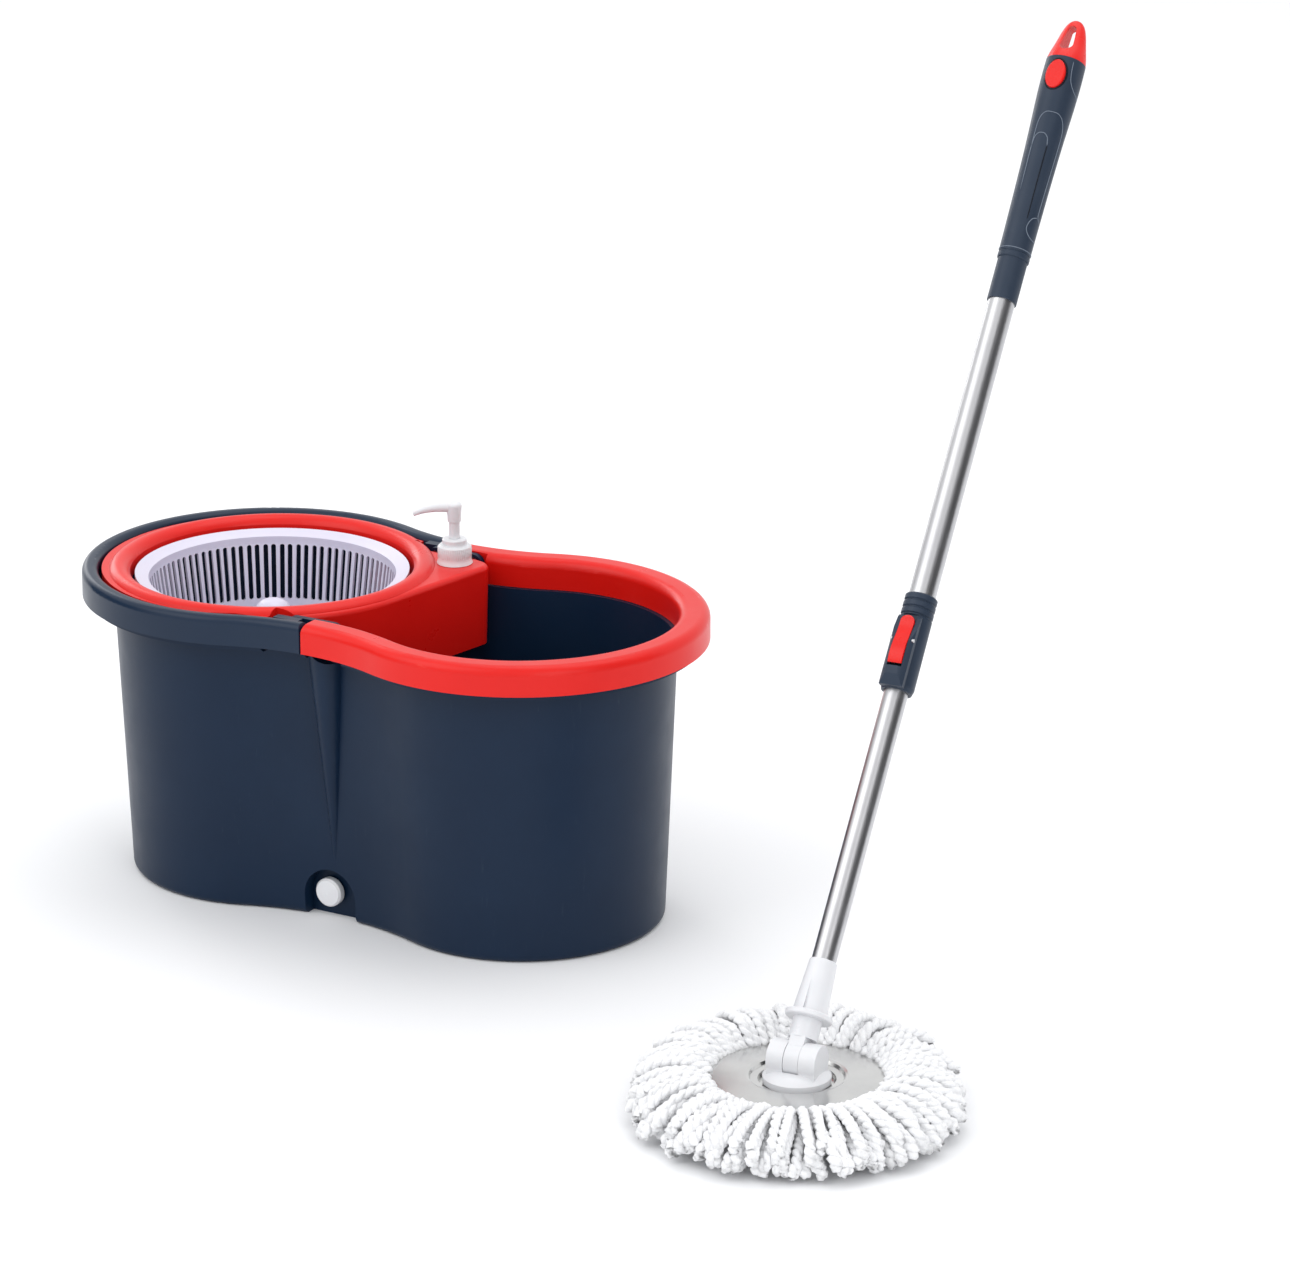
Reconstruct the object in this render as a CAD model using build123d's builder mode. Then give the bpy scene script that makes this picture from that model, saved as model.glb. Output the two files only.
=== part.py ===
from build123d import *
import os
from math import cos, radians, sin, tan

os.makedirs("parts", exist_ok=True)

# Spin mop set: a two-lobed bucket with a spin basket, and a telescopic mop standing beside it.
# Millimetres. Origin: middle of the bucket's base. +X towards the wash well, +Z up.

# Bucket
lobe_spacing = 256.0
base_lobe_r = 119.5
base_waist = 95.6
draft = 2.47
wall = 2.5
floor_t = 3.0
rim_z = 244.2
ledge_t = 2.9
ledge_grow = 31.5
base_edge_r = 6.0

# Carry handles, which share the rim and split at the waist
split_x = -6.0
pin_offset = 20.0
pin_z = 263.5
pin_r = 3.0
run_clearance = 0.05
slide_clearance = 0.3
handle_out = 37.5
handle_in_wash = 11.5
handle_in_basket = 23.4
handle_bottom = 246.0
handle_top = 271.0
handle_wall = 3.0
handle_web = 4.0
end_r = 19.2
notch_r = 28.2
ear_in = 113.0
ear_out = 121.4
lug_in = 107.0
lug_out = 112.3
lug_half = 27.5

# Basket well and splash guard
basket_x = -122.0
well_r = 121.0
guard_grow = 20.6
guard_top = 268.0
guard_t = 2.5
guard_step_x = -46.4
housing_bottom = 198.0
partition_r = 142.0
corner_centre = (24.0, 88.0)
corner_r = 14.0

# Spin basket
rim_r = 117.0
cage_top_r = 108.0
cage_bottom_r = 94.0
cage_top = 262.0
cage_floor = 150.0
cage_t = 2.4
hub_top = 227.0
axle_r = 4.0
axle_foot = 120.0
post_top = 206.0
slot_top = 253.0
slot_bottom = 205.0
low_slot_top = 199.0
low_slot_bottom = 162.0
slot_width = 4.1
slot_pairs = 46
slot_pair_angle = 3.7

# Detergent pump
pump_x = 9.0
pump_y = 84.0
collar_r = 14.5
neck_r = 9.0
stem_r = 4.6
tank_bottom = 200.0
tank_top = 262.0
neck_top = 277.0
barrel_foot = 222.0
collar_top = 284.5
step_r = 10.5
step_top = 290.0
stem_top = 308.0
head_top = 322.0
nozzle_turn = 30.4
nozzle_reach = 35.0

# Drain
drain_x = -4.0
plug_x = -8.5
drain_z = 21.5
drain_r = 8.0
plug_r = 12.5
arch_half = 25.0
arch_top = 44.0
arch_back = 84.5

# Mop head, measured from the floor
mop_x = 540.5
mop_y = -267.6
hinge_turn = 5.25
hinge_z = 47.0
pole_lean = 38.0
yarn_r = 129.0
yarn_hole_r = 50.0
plate_r = 69.0
plate_t = 0.8
dome_r = 27.0
ear_r = 14.5
ear_inner = 6.6
ear_outer = 20.5

# Mop pole, measured along the pole from its tilt hinge
lower_tube_r = 9.8
upper_tube_r = 11.0
tube_t = 0.7
shank_start = 16.5
collar_start = 33.0
collar_end = 37.5
socket_end = 81.0
tube_foot = 44.0
lower_tube_top = 545.0
lock_start = 307.0
lock_end = 388.5
lever_mid = 346.0
sleeve_start = 646.0
sleeve_end = 682.5
grip_start = 688.0
grip_end = 860.0
loop_end = 898.0
button_mid = 843.0
lever_pin_y = -16.6
rod_start = 352.0
rod_end = 850.0
twist_pitch = 90.0
rod_width = 8.0
rod_t = 2.6

pin_x = {"basket": split_x - pin_offset, "wash": split_x + pin_offset}

head_x_dir = (cos(radians(hinge_turn)), sin(radians(hinge_turn)), 0)
head_back = (-sin(radians(hinge_turn)), cos(radians(hinge_turn)), 0)
pole_dir = (
    head_back[0] * sin(radians(pole_lean)),
    head_back[1] * sin(radians(pole_lean)),
    cos(radians(pole_lean)),
)
# Each mop plane has X along the tilt pin. Side planes have Y up along the head's or the pole's axis.
head = Plane(origin=(mop_x, mop_y, 0), x_dir=head_x_dir, z_dir=(0, 0, 1))
head_side = Plane(origin=(mop_x, mop_y, 0), x_dir=head_x_dir, z_dir=Vector(head_back) * -1)
head_axis = Axis((mop_x, mop_y, 0), (0, 0, 1))
pole = Plane(origin=(mop_x, mop_y, hinge_z), x_dir=head_x_dir, z_dir=pole_dir)
pole_side = Plane(origin=pole.origin, x_dir=pole.x_dir, z_dir=pole.y_dir * -1)
pole_cross = Plane(origin=pole.origin, x_dir=pole.y_dir, z_dir=pole.x_dir)
pole_axis = Axis(pole.origin, pole.z_dir)
hinge_cross = Plane(origin=(mop_x, mop_y, hinge_z), x_dir=head_back, z_dir=head_x_dir)
basket_side = Plane(origin=(basket_x, 0, 0), x_dir=(1, 0, 0), z_dir=(0, -1, 0))
basket_axis = Axis((basket_x, 0, 0), (0, 0, 1))
pump_side = Plane(origin=(pump_x, pump_y, 0), x_dir=(1, 0, 0), z_dir=(0, -1, 0))
pump_axis = Axis((pump_x, pump_y, 0), (0, 0, 1))
drain_side = Plane(origin=(plug_x, 0, drain_z), x_dir=(1, 0, 0), z_dir=(0, 0, 1))
drain_axis = Axis((plug_x, 0, drain_z), (0, -1, 0))


def save(piece, name):
    """Label a finished piece and write it to its own file."""
    piece.part.label = name
    export_step(piece.part, f"parts/{name}.step")


def peanut(grow):
    """Two-lobed outline of the bucket's base, offset outwards by grow."""
    lobe = base_lobe_r + grow
    waist = base_waist + grow
    half = lobe_spacing / 2
    waist_r = (half**2 + waist**2 - lobe**2) / (2 * (lobe - waist))
    centre_y = waist + waist_r
    reach = lobe / (lobe + waist_r)
    join_x = half * (1 - reach)
    join_y = centre_y * reach
    with BuildSketch() as outline:
        with BuildLine():
            ThreePointArc((join_x, -join_y), (half + lobe, 0), (join_x, join_y))
            ThreePointArc((join_x, join_y), (0, waist), (-join_x, join_y))
            ThreePointArc((-join_x, join_y), (-half - lobe, 0), (-join_x, -join_y))
            ThreePointArc((-join_x, -join_y), (0, -waist), (join_x, -join_y))
        make_face()
    return outline.sketch


def grow_at(z):
    """How far the tapered outer wall has spread at height z."""
    return z * tan(radians(draft))


def outline(points):
    """A closed face through the given points."""
    with BuildSketch() as shape:
        with BuildLine():
            Polyline(*points, close=True)
        make_face()
    return shape.sketch


def guard_region(grow):
    """Plan of the basket well and of the pump housing beside it, offset by grow."""
    with BuildSketch() as region:
        with Locations((basket_x, 0)):
            Circle(partition_r + grow)
        with Locations(corner_centre):
            Circle(corner_r + grow)
        make_hull()
    return region.sketch


# ---- Bucket -------------------------------------------------------------------------------

with BuildPart() as recess_core:
    with BuildSketch(Plane.XZ.offset(arch_back - wall)):
        with Locations((drain_x, (arch_top - arch_half) / 2)):
            Rectangle(2 * (arch_half + wall), arch_top - arch_half)
        with Locations((drain_x, arch_top - arch_half)):
            Circle(arch_half + wall)
    extrude(amount=40)

with BuildPart() as drain_recess:
    with BuildSketch(Plane.XZ.offset(arch_back)):
        with Locations((drain_x, (arch_top - arch_half) / 2 - 1)):
            Rectangle(2 * arch_half, arch_top - arch_half + 2)
        with Locations((drain_x, arch_top - arch_half)):
            Circle(arch_half)
    extrude(amount=40)

with BuildPart() as cavity:
    with BuildSketch(Plane.XY.offset(floor_t)):
        add(peanut(grow_at(floor_t) - wall))
    extrude(amount=rim_z, taper=-draft)
    fillet(cavity.edges().group_by(Axis.Z)[0], base_edge_r - wall)
    add(recess_core.part, mode=Mode.SUBTRACT)

# Both lugs and the tapered pillars that carry them, one pair in front and one behind
with BuildPart() as waist_lugs:
    with BuildSketch(Plane.XY.offset(rim_z - 6)):
        for side in (-1, 1):
            with Locations((split_x, side * (lug_in + lug_out) / 2)):
                Rectangle(2 * lug_half, lug_out - lug_in)
    extrude(amount=guard_top + 1.5 - rim_z + 6)
    fillet(waist_lugs.edges().filter_by(Axis.Y), 9)

with BuildPart() as waist_pillars:
    for side in (-1, 1):
        with BuildSketch(Plane.XY.offset(52)):
            with Locations((2, side * 96.2)):
                Circle(1.6)
        with BuildSketch(Plane.XY.offset(rim_z - 2)):
            with Locations((2, side * 104.5)):
                Ellipse(16, 17)
        loft()

with BuildPart() as pin_clearance:
    with BuildSketch(Plane.XZ):
        for x in pin_x.values():
            with Locations((x, pin_z)):
                Circle(notch_r)
    extrude(amount=170, both=True)
    with BuildSketch(Plane.XZ):
        with Locations((split_x, pin_z)):
            Rectangle(200, 200)
    extrude(amount=lug_out, both=True, mode=Mode.SUBTRACT)

with BuildPart() as bucket_shell:
    with BuildSketch():
        add(peanut(0))
    extrude(amount=rim_z, taper=-draft)
    fillet(bucket_shell.edges().group_by(Axis.Z)[0], base_edge_r)
    with BuildSketch(Plane.XY.offset(rim_z - ledge_t)):
        add(peanut(ledge_grow))
    extrude(amount=ledge_t)
    add(waist_lugs.part)
    add(waist_pillars.part)
    add(cavity.part, mode=Mode.SUBTRACT)
    add(pin_clearance.part, mode=Mode.SUBTRACT)
    add(drain_recess.part, mode=Mode.SUBTRACT)
    with BuildSketch(Plane.XZ.offset(arch_back - 2 * wall)):
        with Locations((plug_x, drain_z)):
            Circle(drain_r)
    extrude(amount=4 * wall, mode=Mode.SUBTRACT)
    with BuildSketch(Plane.XZ):
        for x in pin_x.values():
            with Locations((x, pin_z)):
                Circle(pin_r)
    extrude(amount=170, both=True, mode=Mode.SUBTRACT)
    with BuildSketch(Plane.XY.offset(floor_t - 1)):
        with Locations((basket_x, 0)):
            Circle(25)
            Circle(20, mode=Mode.SUBTRACT)
    extrude(amount=10)
save(bucket_shell, "bucket_shell")

with BuildPart() as handle_pins:
    for side in (-1, 1):
        for x in pin_x.values():
            with BuildSketch(Plane.XZ.offset(side * (lug_in + 0.5))):
                with Locations((x, pin_z)):
                    Circle(pin_r)
            extrude(amount=side * (ear_out + 3 - lug_in - 0.5))
            with BuildSketch(Plane.XZ.offset(side * (ear_out + 0.5))):
                with Locations((x, pin_z)):
                    Circle(5.2)
            extrude(amount=side * 2.5)
save(handle_pins, "handle_pins")

# ---- Splash guard: flange round the basket well, partition and pump housing ------------------


def left_of_step(grow):
    """The bucket's outline offset by grow, kept only on the basket side of the guard's step."""
    with BuildSketch() as half:
        add(peanut(grow))
        with Locations((guard_step_x + 300, 0)):
            Rectangle(600, 600, mode=Mode.SUBTRACT)
    return half.sketch


housing_height = guard_top - housing_bottom
housing_grow = grow_at(housing_bottom) - wall - 1.9
with BuildPart() as guard_limit:
    with BuildSketch(Plane.XY.offset(rim_z)):
        add(left_of_step(guard_grow))
    extrude(amount=40)
    with BuildSketch(Plane.XY.offset(rim_z)):
        add(peanut(7.0))
        with Locations((guard_step_x - 300, 0)):
            Rectangle(600, 600, mode=Mode.SUBTRACT)
    extrude(amount=40)

with BuildPart() as well_bead:
    with BuildSketch(basket_side):
        with BuildLine():
            Line((well_r, guard_top - 14), (well_r, guard_top - 2))
            ThreePointArc((well_r, guard_top - 2), (well_r + 7.5, guard_top + 4.5), (well_r + 18, guard_top))
            Polyline(
                (well_r + 18, guard_top),
                (well_r + 18, guard_top - guard_t),
                (well_r + 2.4, guard_top - guard_t),
                (well_r + 2.4, guard_top - 14),
                (well_r, guard_top - 14),
            )
        make_face()
    revolve(axis=basket_axis)
    add(guard_limit.part, mode=Mode.INTERSECT)

with BuildPart() as housing_hollow:
    with BuildSketch(Plane.XY.offset(housing_bottom)):
        add(peanut(housing_grow - guard_t - 0.5))
    extrude(amount=housing_height - guard_t, taper=-draft)
    with BuildSketch(Plane.XY.offset(housing_bottom)):
        add(guard_region(-guard_t - 2))
    extrude(amount=housing_height - guard_t, taper=-1.5, mode=Mode.INTERSECT)
    with BuildSketch(Plane.XY.offset(housing_bottom)):
        with Locations((basket_x, 0)):
            Circle(well_r + 3 + guard_t)
        with Locations((guard_step_x - 300, 0)):
            Rectangle(600, 600)
    extrude(amount=housing_height, mode=Mode.SUBTRACT)

with BuildPart() as splash_guard:
    with BuildSketch(Plane.XY.offset(housing_bottom)):
        add(peanut(housing_grow))
    extrude(amount=housing_height, taper=-draft)
    with BuildSketch(Plane.XY.offset(housing_bottom)):
        add(guard_region(-2))
    extrude(amount=housing_height, taper=-1.5, mode=Mode.INTERSECT)
    fillet(splash_guard.faces().sort_by(Axis.Z)[-1].edges(), 4.5)
    with BuildSketch(Plane.XY.offset(housing_bottom)):
        with Locations((guard_step_x - 310, 0)):
            Rectangle(600, 600)
    extrude(amount=housing_height, mode=Mode.SUBTRACT)
    with BuildSketch(Plane.XY.offset(guard_top - guard_t)):
        add(left_of_step(guard_grow))
    extrude(amount=guard_t)
    with BuildSketch(Plane.XY.offset(rim_z)):
        add(left_of_step(guard_grow))
        add(peanut(guard_grow - guard_t), mode=Mode.SUBTRACT)
    extrude(amount=housing_height - guard_t - rim_z + housing_bottom)
    with BuildSketch(Plane.XY.offset(housing_bottom)):
        with Locations((basket_x, 0)):
            Circle(well_r + 3)
    extrude(amount=housing_height + 10, mode=Mode.SUBTRACT)
    add(well_bead.part)
    add(housing_hollow.part, mode=Mode.SUBTRACT)
    with BuildSketch(Plane.XY.offset(guard_top - 10)):
        with Locations((pump_x, pump_y)):
            Circle(neck_r + 0.2)
    extrude(amount=20, mode=Mode.SUBTRACT)
    with BuildSketch(Plane.XY.offset(rim_z - 6.4)):
        for side in (-1, 1):
            with Locations((split_x, side * (lug_in + 19.6))):
                Rectangle(2 * lug_half + 0.8, 40)
    extrude(amount=60, mode=Mode.SUBTRACT)
save(splash_guard, "splash_guard")

# ---- Carry handles: channel sections that rest on the rim and swing up about the waist -------


def carry_handle(end, side, inner_grow, round_r):
    """One half-hoop, with its two ears. side is +1 towards the wash well."""
    pivot = pin_x[end]
    with BuildPart() as trim:
        with BuildSketch(Plane.XZ):
            with Locations((pivot - side * 500, pin_z)):
                Rectangle(1000, 300)
            with Locations((pivot, pin_z)):
                Circle(end_r, mode=Mode.SUBTRACT)
            with Locations((pivot, pin_z - 20)):
                Rectangle(2 * end_r, 40, mode=Mode.SUBTRACT)
        extrude(amount=300, both=True)
    with BuildPart() as ears:
        for y_side in (-1, 1):
            with BuildSketch(Plane.XZ.offset(y_side * ear_in)):
                with Locations((pivot + side * 2, pin_z - 2)):
                    Rectangle(24, 16)
            extrude(amount=y_side * (ear_out - ear_in))
    with BuildPart() as handle:
        with BuildSketch(Plane.XY.offset(handle_bottom)):
            add(peanut(handle_out))
            add(peanut(inner_grow), mode=Mode.SUBTRACT)
        extrude(amount=handle_top - handle_bottom)
        fillet(handle.edges().group_by(Axis.Z)[-1], round_r)
        with BuildSketch(Plane.XY.offset(handle_bottom)):
            add(peanut(handle_out - handle_wall))
            add(peanut(inner_grow + handle_wall), mode=Mode.SUBTRACT)
        extrude(amount=handle_top - handle_web - handle_bottom, mode=Mode.SUBTRACT)
        with BuildSketch(Plane.XY.offset(rim_z + 0.4)):
            add(peanut(inner_grow + handle_wall))
            add(peanut(inner_grow), mode=Mode.SUBTRACT)
        extrude(amount=handle_bottom + 1 - rim_z - 0.4)
        add(trim.part, mode=Mode.SUBTRACT)
        with BuildSketch(Plane.XY.offset(rim_z)):
            with Locations((split_x, 0)):
                Rectangle(2 * lug_half + 6, 2 * ear_in - 0.6)
        extrude(amount=60, mode=Mode.SUBTRACT)
        add(ears.part)
        with BuildSketch(Plane.XZ):
            with Locations((pivot, pin_z)):
                Circle(pin_r + run_clearance)
        extrude(amount=ear_out + 0.4, both=True, mode=Mode.SUBTRACT)
        for y_side in (-1, 1):
            with BuildSketch(Plane.XZ.offset(y_side * (ear_out + 0.2))):
                with Locations((pivot, pin_z)):
                    Circle(6.2)
            extrude(amount=y_side * 3.4, mode=Mode.SUBTRACT)
    return handle


wash_side_handle = carry_handle("wash", 1, handle_in_wash, 8.0)
save(wash_side_handle, "wash_side_handle")
basket_side_handle = carry_handle("basket", -1, handle_in_basket, 6.0)
save(basket_side_handle, "basket_side_handle")

# ---- Spin basket on its post -----------------------------------------------------------------

with BuildPart() as basket_post:
    with BuildSketch(basket_side):
        add(outline([(0, floor_t), (20, floor_t), (15, 150), (12, post_top), (0, post_top)]))
    revolve(axis=basket_axis)
    with BuildSketch(Plane.XY.offset(axle_foot)):
        with Locations((basket_x, 0)):
            Circle(axle_r)
    extrude(amount=200, mode=Mode.SUBTRACT)
save(basket_post, "basket_post")

with BuildPart() as basket_axle:
    with BuildSketch(Plane.XY.offset(axle_foot)):
        with Locations((basket_x, 0)):
            Circle(axle_r)
    extrude(amount=post_top + 14 - axle_foot)
save(basket_axle, "basket_axle")

with BuildPart() as thrust_washer:
    with BuildSketch(Plane.XY.offset(post_top)):
        with Locations((basket_x, 0)):
            Circle(10)
            Circle(axle_r, mode=Mode.SUBTRACT)
    extrude(amount=1.5)
save(thrust_washer, "thrust_washer")

bearing_foot = post_top + 1.8
with BuildPart() as basket_bearing:
    with BuildSketch(Plane.XY.offset(bearing_foot)):
        with Locations((basket_x, 0)):
            Circle(9)
            Circle(axle_r + run_clearance, mode=Mode.SUBTRACT)
    extrude(amount=13.4)
save(basket_bearing, "basket_bearing")

cage_wall = [(cage_top_r - cage_t, cage_top - 8), (cage_bottom_r - cage_t, cage_floor + 3)]
with BuildPart() as cage_slot:
    with BuildSketch(Plane.YZ.offset(70)):
        with Locations((0, (slot_top + slot_bottom) / 2)):
            SlotOverall(slot_top - slot_bottom, slot_width, rotation=90)
        with Locations((0, (low_slot_top + low_slot_bottom) / 2)):
            SlotOverall(low_slot_top - low_slot_bottom, slot_width, rotation=90)
    extrude(amount=50)

with BuildPart() as cage_slots:
    for shift in (-slot_pair_angle / 2, slot_pair_angle / 2):
        with PolarLocations(0, slot_pairs, start_angle=shift):
            add(cage_slot.part)

with BuildPart() as cage_drains:
    with PolarLocations(42, 10):
        Cylinder(4, 30)
    with PolarLocations(62, 16):
        Cylinder(4, 30)
    with PolarLocations(80, 20):
        Cylinder(4, 30)

with BuildPart() as spin_basket:
    with BuildSketch(basket_side):
        add(
            outline(
                [
                    (rim_r, cage_top + 2),
                    (rim_r - 11.5, cage_top - 2),
                    *cage_wall,
                    (22.6, cage_floor + 3),
                    (16.6, hub_top),
                    (0, hub_top),
                    (0, hub_top - 2.6),
                    (9, hub_top - 2.6),
                    (9, bearing_foot),
                    (14.6, bearing_foot),
                    (20.2, cage_floor),
                    (cage_bottom_r, cage_floor),
                    (cage_top_r, cage_top - 8),
                    (cage_top_r + 1, cage_top - 4.4),
                    (rim_r - 2.4, cage_top - 2),
                    (rim_r - 2.4, cage_top - 7),
                    (rim_r, cage_top - 7),
                ]
            )
        )
    revolve(axis=basket_axis)
    with Locations((basket_x, 0, 0)):
        add(cage_slots.part, mode=Mode.SUBTRACT)
    with Locations((basket_x, 0, cage_floor)):
        add(cage_drains.part, mode=Mode.SUBTRACT)
save(spin_basket, "spin_basket")

with BuildPart() as hub_dome:
    with BuildSketch(basket_side):
        with BuildLine():
            Polyline((0, hub_top), (15.5, hub_top), (15.5, hub_top + 2))
            ThreePointArc((15.5, hub_top + 2), (11, hub_top + 7.6), (3, hub_top + 10))
            Polyline((3, hub_top + 10), (0, hub_top + 10), (0, hub_top))
        make_face()
    revolve(axis=basket_axis)
save(hub_dome, "hub_dome")

# ---- Detergent reservoir and pump ------------------------------------------------------------

with BuildPart() as detergent_reservoir:
    with BuildSketch(Plane.XY.offset(tank_bottom)):
        with Locations((8, 79)):
            RectangleRounded(39, 34, 9)
    extrude(amount=tank_top - tank_bottom)
    with BuildSketch(Plane.XY.offset(tank_top)):
        with Locations((pump_x, pump_y)):
            Circle(neck_r)
    extrude(amount=neck_top - tank_top)
    with BuildSketch(Plane.XY.offset(tank_bottom + 1.8)):
        with Locations((8, 79)):
            RectangleRounded(39 - 3.6, 34 - 3.6, 7.2)
    extrude(amount=tank_top - tank_bottom - 3.6, mode=Mode.SUBTRACT)
    with BuildSketch(Plane.XY.offset(tank_top - 3)):
        with Locations((pump_x, pump_y)):
            Circle(neck_r - 2)
    extrude(amount=40, mode=Mode.SUBTRACT)
save(detergent_reservoir, "detergent_reservoir")

barrel_r = 6.4
bore_r = 5.0
with BuildPart() as pump_cylinder:
    with BuildSketch(pump_side):
        add(
            outline(
                [
                    (bore_r, neck_top + 1.2),
                    (neck_r, neck_top + 1.2),
                    (neck_r, neck_top),
                    (barrel_r, neck_top),
                    (barrel_r, barrel_foot),
                    (4, barrel_foot - 3),
                    (4, barrel_foot - 12),
                    (2.4, barrel_foot - 12),
                    (2.4, barrel_foot - 3),
                    (1.4, barrel_foot - 3),
                    (1.4, barrel_foot + 2),
                    (bore_r, barrel_foot + 2),
                ]
            )
        )
    revolve(axis=pump_axis)
save(pump_cylinder, "pump_cylinder")

with BuildPart() as pump_valve_ball:
    with Locations((pump_x, pump_y, barrel_foot + 3.3)):
        Sphere(1.9)
save(pump_valve_ball, "pump_valve_ball")

with BuildPart() as dip_tube:
    with BuildSketch(Plane.XY.offset(tank_bottom + 4)):
        with Locations((pump_x, pump_y)):
            Circle(2.4)
            Circle(1.6, mode=Mode.SUBTRACT)
    extrude(amount=barrel_foot - 3 - tank_bottom - 4)
save(dip_tube, "dip_tube")

with BuildPart() as pump_closure:
    with BuildSketch(pump_side):
        add(
            outline(
                [
                    (neck_r + 0.1, guard_top + 0.3),
                    (collar_r + 0.9, guard_top + 0.3),
                    (collar_r, guard_top + 3.5),
                    (collar_r - 0.3, collar_top - 1.5),
                    (collar_r - 1.8, collar_top),
                    (step_r, collar_top),
                    (step_r, step_top - 1),
                    (step_r - 1, step_top),
                    (stem_r + 0.35, step_top),
                    (stem_r + 0.35, neck_top + 1.3),
                    (neck_r + 0.1, neck_top + 1.3),
                ]
            )
        )
    revolve(axis=pump_axis)
save(pump_closure, "pump_closure")

piston_z = barrel_foot + 27
with BuildPart() as pump_stem:
    with BuildSketch(pump_side):
        add(
            outline(
                [
                    (1.4, piston_z),
                    (bore_r - slide_clearance, piston_z),
                    (bore_r - slide_clearance, piston_z + 5),
                    (3.2, piston_z + 5),
                    (3.2, piston_z + 17),
                    (stem_r, piston_z + 17),
                    (stem_r, stem_top),
                    (1.4, stem_top),
                ]
            )
        )
    revolve(axis=pump_axis)
save(pump_stem, "pump_stem")

with BuildPart() as pump_spring:
    with BuildLine(Plane((pump_x, pump_y, barrel_foot + 6.6))) as coil:
        Helix(pitch=3.6, height=piston_z - barrel_foot - 7.2, radius=3.9)
    with BuildSketch(Plane(origin=coil.line @ 0, z_dir=coil.line % 0)):
        Circle(0.5)
    sweep(is_frenet=True)
save(pump_spring, "pump_spring")

nozzle_dir = Vector(-cos(radians(nozzle_turn)), -sin(radians(nozzle_turn)), 0)
nozzle_start = Vector(pump_x, pump_y, head_top - 5)
nozzle_end = nozzle_start + nozzle_dir * nozzle_reach - Vector(0, 0, 5.5)
with BuildPart() as pump_head:
    with BuildSketch(pump_side):
        with BuildLine():
            Polyline(
                (0, stem_top + 0.1),
                (stem_r + run_clearance, stem_top + 0.1),
                (stem_r + run_clearance, stem_top - 3),
                (stem_r + 1.1, stem_top - 3),
                (stem_r + 1.9, head_top - 3),
            )
            ThreePointArc((stem_r + 1.9, head_top - 3), (stem_r + 0.6, head_top - 0.6), (2, head_top))
            Polyline((2, head_top), (0, head_top), (0, stem_top + 0.1))
        make_face()
    revolve(axis=pump_axis)
    with BuildLine(mode=Mode.PRIVATE) as spout:
        ThreePointArc(
            nozzle_start,
            nozzle_start + nozzle_dir * nozzle_reach * 0.55 - Vector(0, 0, 0.6),
            nozzle_end,
        )
    for share, radius in ((0, 4.6), (0.35, 4.0), (0.7, 3.0), (1, 2.3)):
        with BuildSketch(Plane(origin=spout.line @ share, z_dir=spout.line % share)):
            Circle(radius)
    loft()
save(pump_head, "pump_head")

# ---- Drain -----------------------------------------------------------------------------------


def drain_turned(points):
    """A solid turned about the drain's axis, from (radius, distance from the bucket's middle)."""
    with BuildPart() as turned:
        with BuildSketch(drain_side):
            add(outline([(radius, -reach) for radius, reach in points]))
        revolve(axis=drain_axis)
    return turned


inner_face = arch_back - wall
drain_bush = drain_turned(
    [
        (6.3, inner_face - 2),
        (11, inner_face - 2),
        (11, inner_face),
        (drain_r, inner_face),
        (drain_r, arch_back),
        (11, arch_back),
        (11, arch_back + 1.6),
        (6.3, arch_back + 1.6),
    ]
)
save(drain_bush, "drain_bush")
drain_seal = drain_turned(
    [(6.2, arch_back + 1.9), (10.5, arch_back + 1.9), (10.5, arch_back + 3.2), (6.2, arch_back + 3.2)]
)
save(drain_seal, "drain_seal")
drain_plug = drain_turned(
    [
        (0, inner_face - 6),
        (5.2, inner_face - 6),
        (6.2, inner_face - 3),
        (6.2, arch_back + 3.2),
        (plug_r, arch_back + 3.2),
        (plug_r, arch_back + 8.6),
        (plug_r - 1.6, arch_back + 10.4),
        (0, arch_back + 11),
    ]
)
save(drain_plug, "drain_plug")

# ---- Mop head --------------------------------------------------------------------------------


def head_turned(points):
    """A solid turned about the head's upright axis, from (radius, height) points."""
    with BuildPart() as turned:
        with BuildSketch(head_side):
            add(outline(points))
        revolve(axis=head_axis)
    return turned


with BuildPart() as yarn_ring:
    with BuildSketch(head_side):
        with BuildLine():
            Polyline((yarn_hole_r, 26), (yarn_hole_r, 0), (yarn_r - 9, 0))
            ThreePointArc((yarn_r - 9, 0), (yarn_r, 10), (yarn_r - 6, 20))
            ThreePointArc((yarn_r - 6, 20), (100, 32), (74, 36))
            Polyline((74, 36), (70.5, 32), (70.5, 26), (yarn_hole_r, 26))
        make_face()
    revolve(axis=head_axis)
save(yarn_ring, "yarn_ring")

clip_base = head_turned(
    [
        (7, 17.5),
        (46, 17.5),
        (46, 8),
        (49.5, 8),
        (49.5, 26.4),
        (68, 26.4),
        (68, 31.4),
        (41, 31.4),
        (41, 25.6),
        (7, 25.6),
    ]
)
save(clip_base, "clip_base")

plate_line = [
    (plate_r, 30.4),
    (plate_r, 32.6),
    (plate_r - 1.6, 33.6),
    (40, 34.6),
    (38, 34.0),
    (36.6, 31.6),
    (31, 31.0),
    (29.6, 27.0),
    (12, 26.6),
]
with BuildPart() as head_plate:
    with BuildSketch(head_side):
        with BuildLine():
            Polyline(*plate_line)
        trace(line_width=plate_t)
    revolve(axis=head_axis)
save(head_plate, "head_plate")

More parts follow.
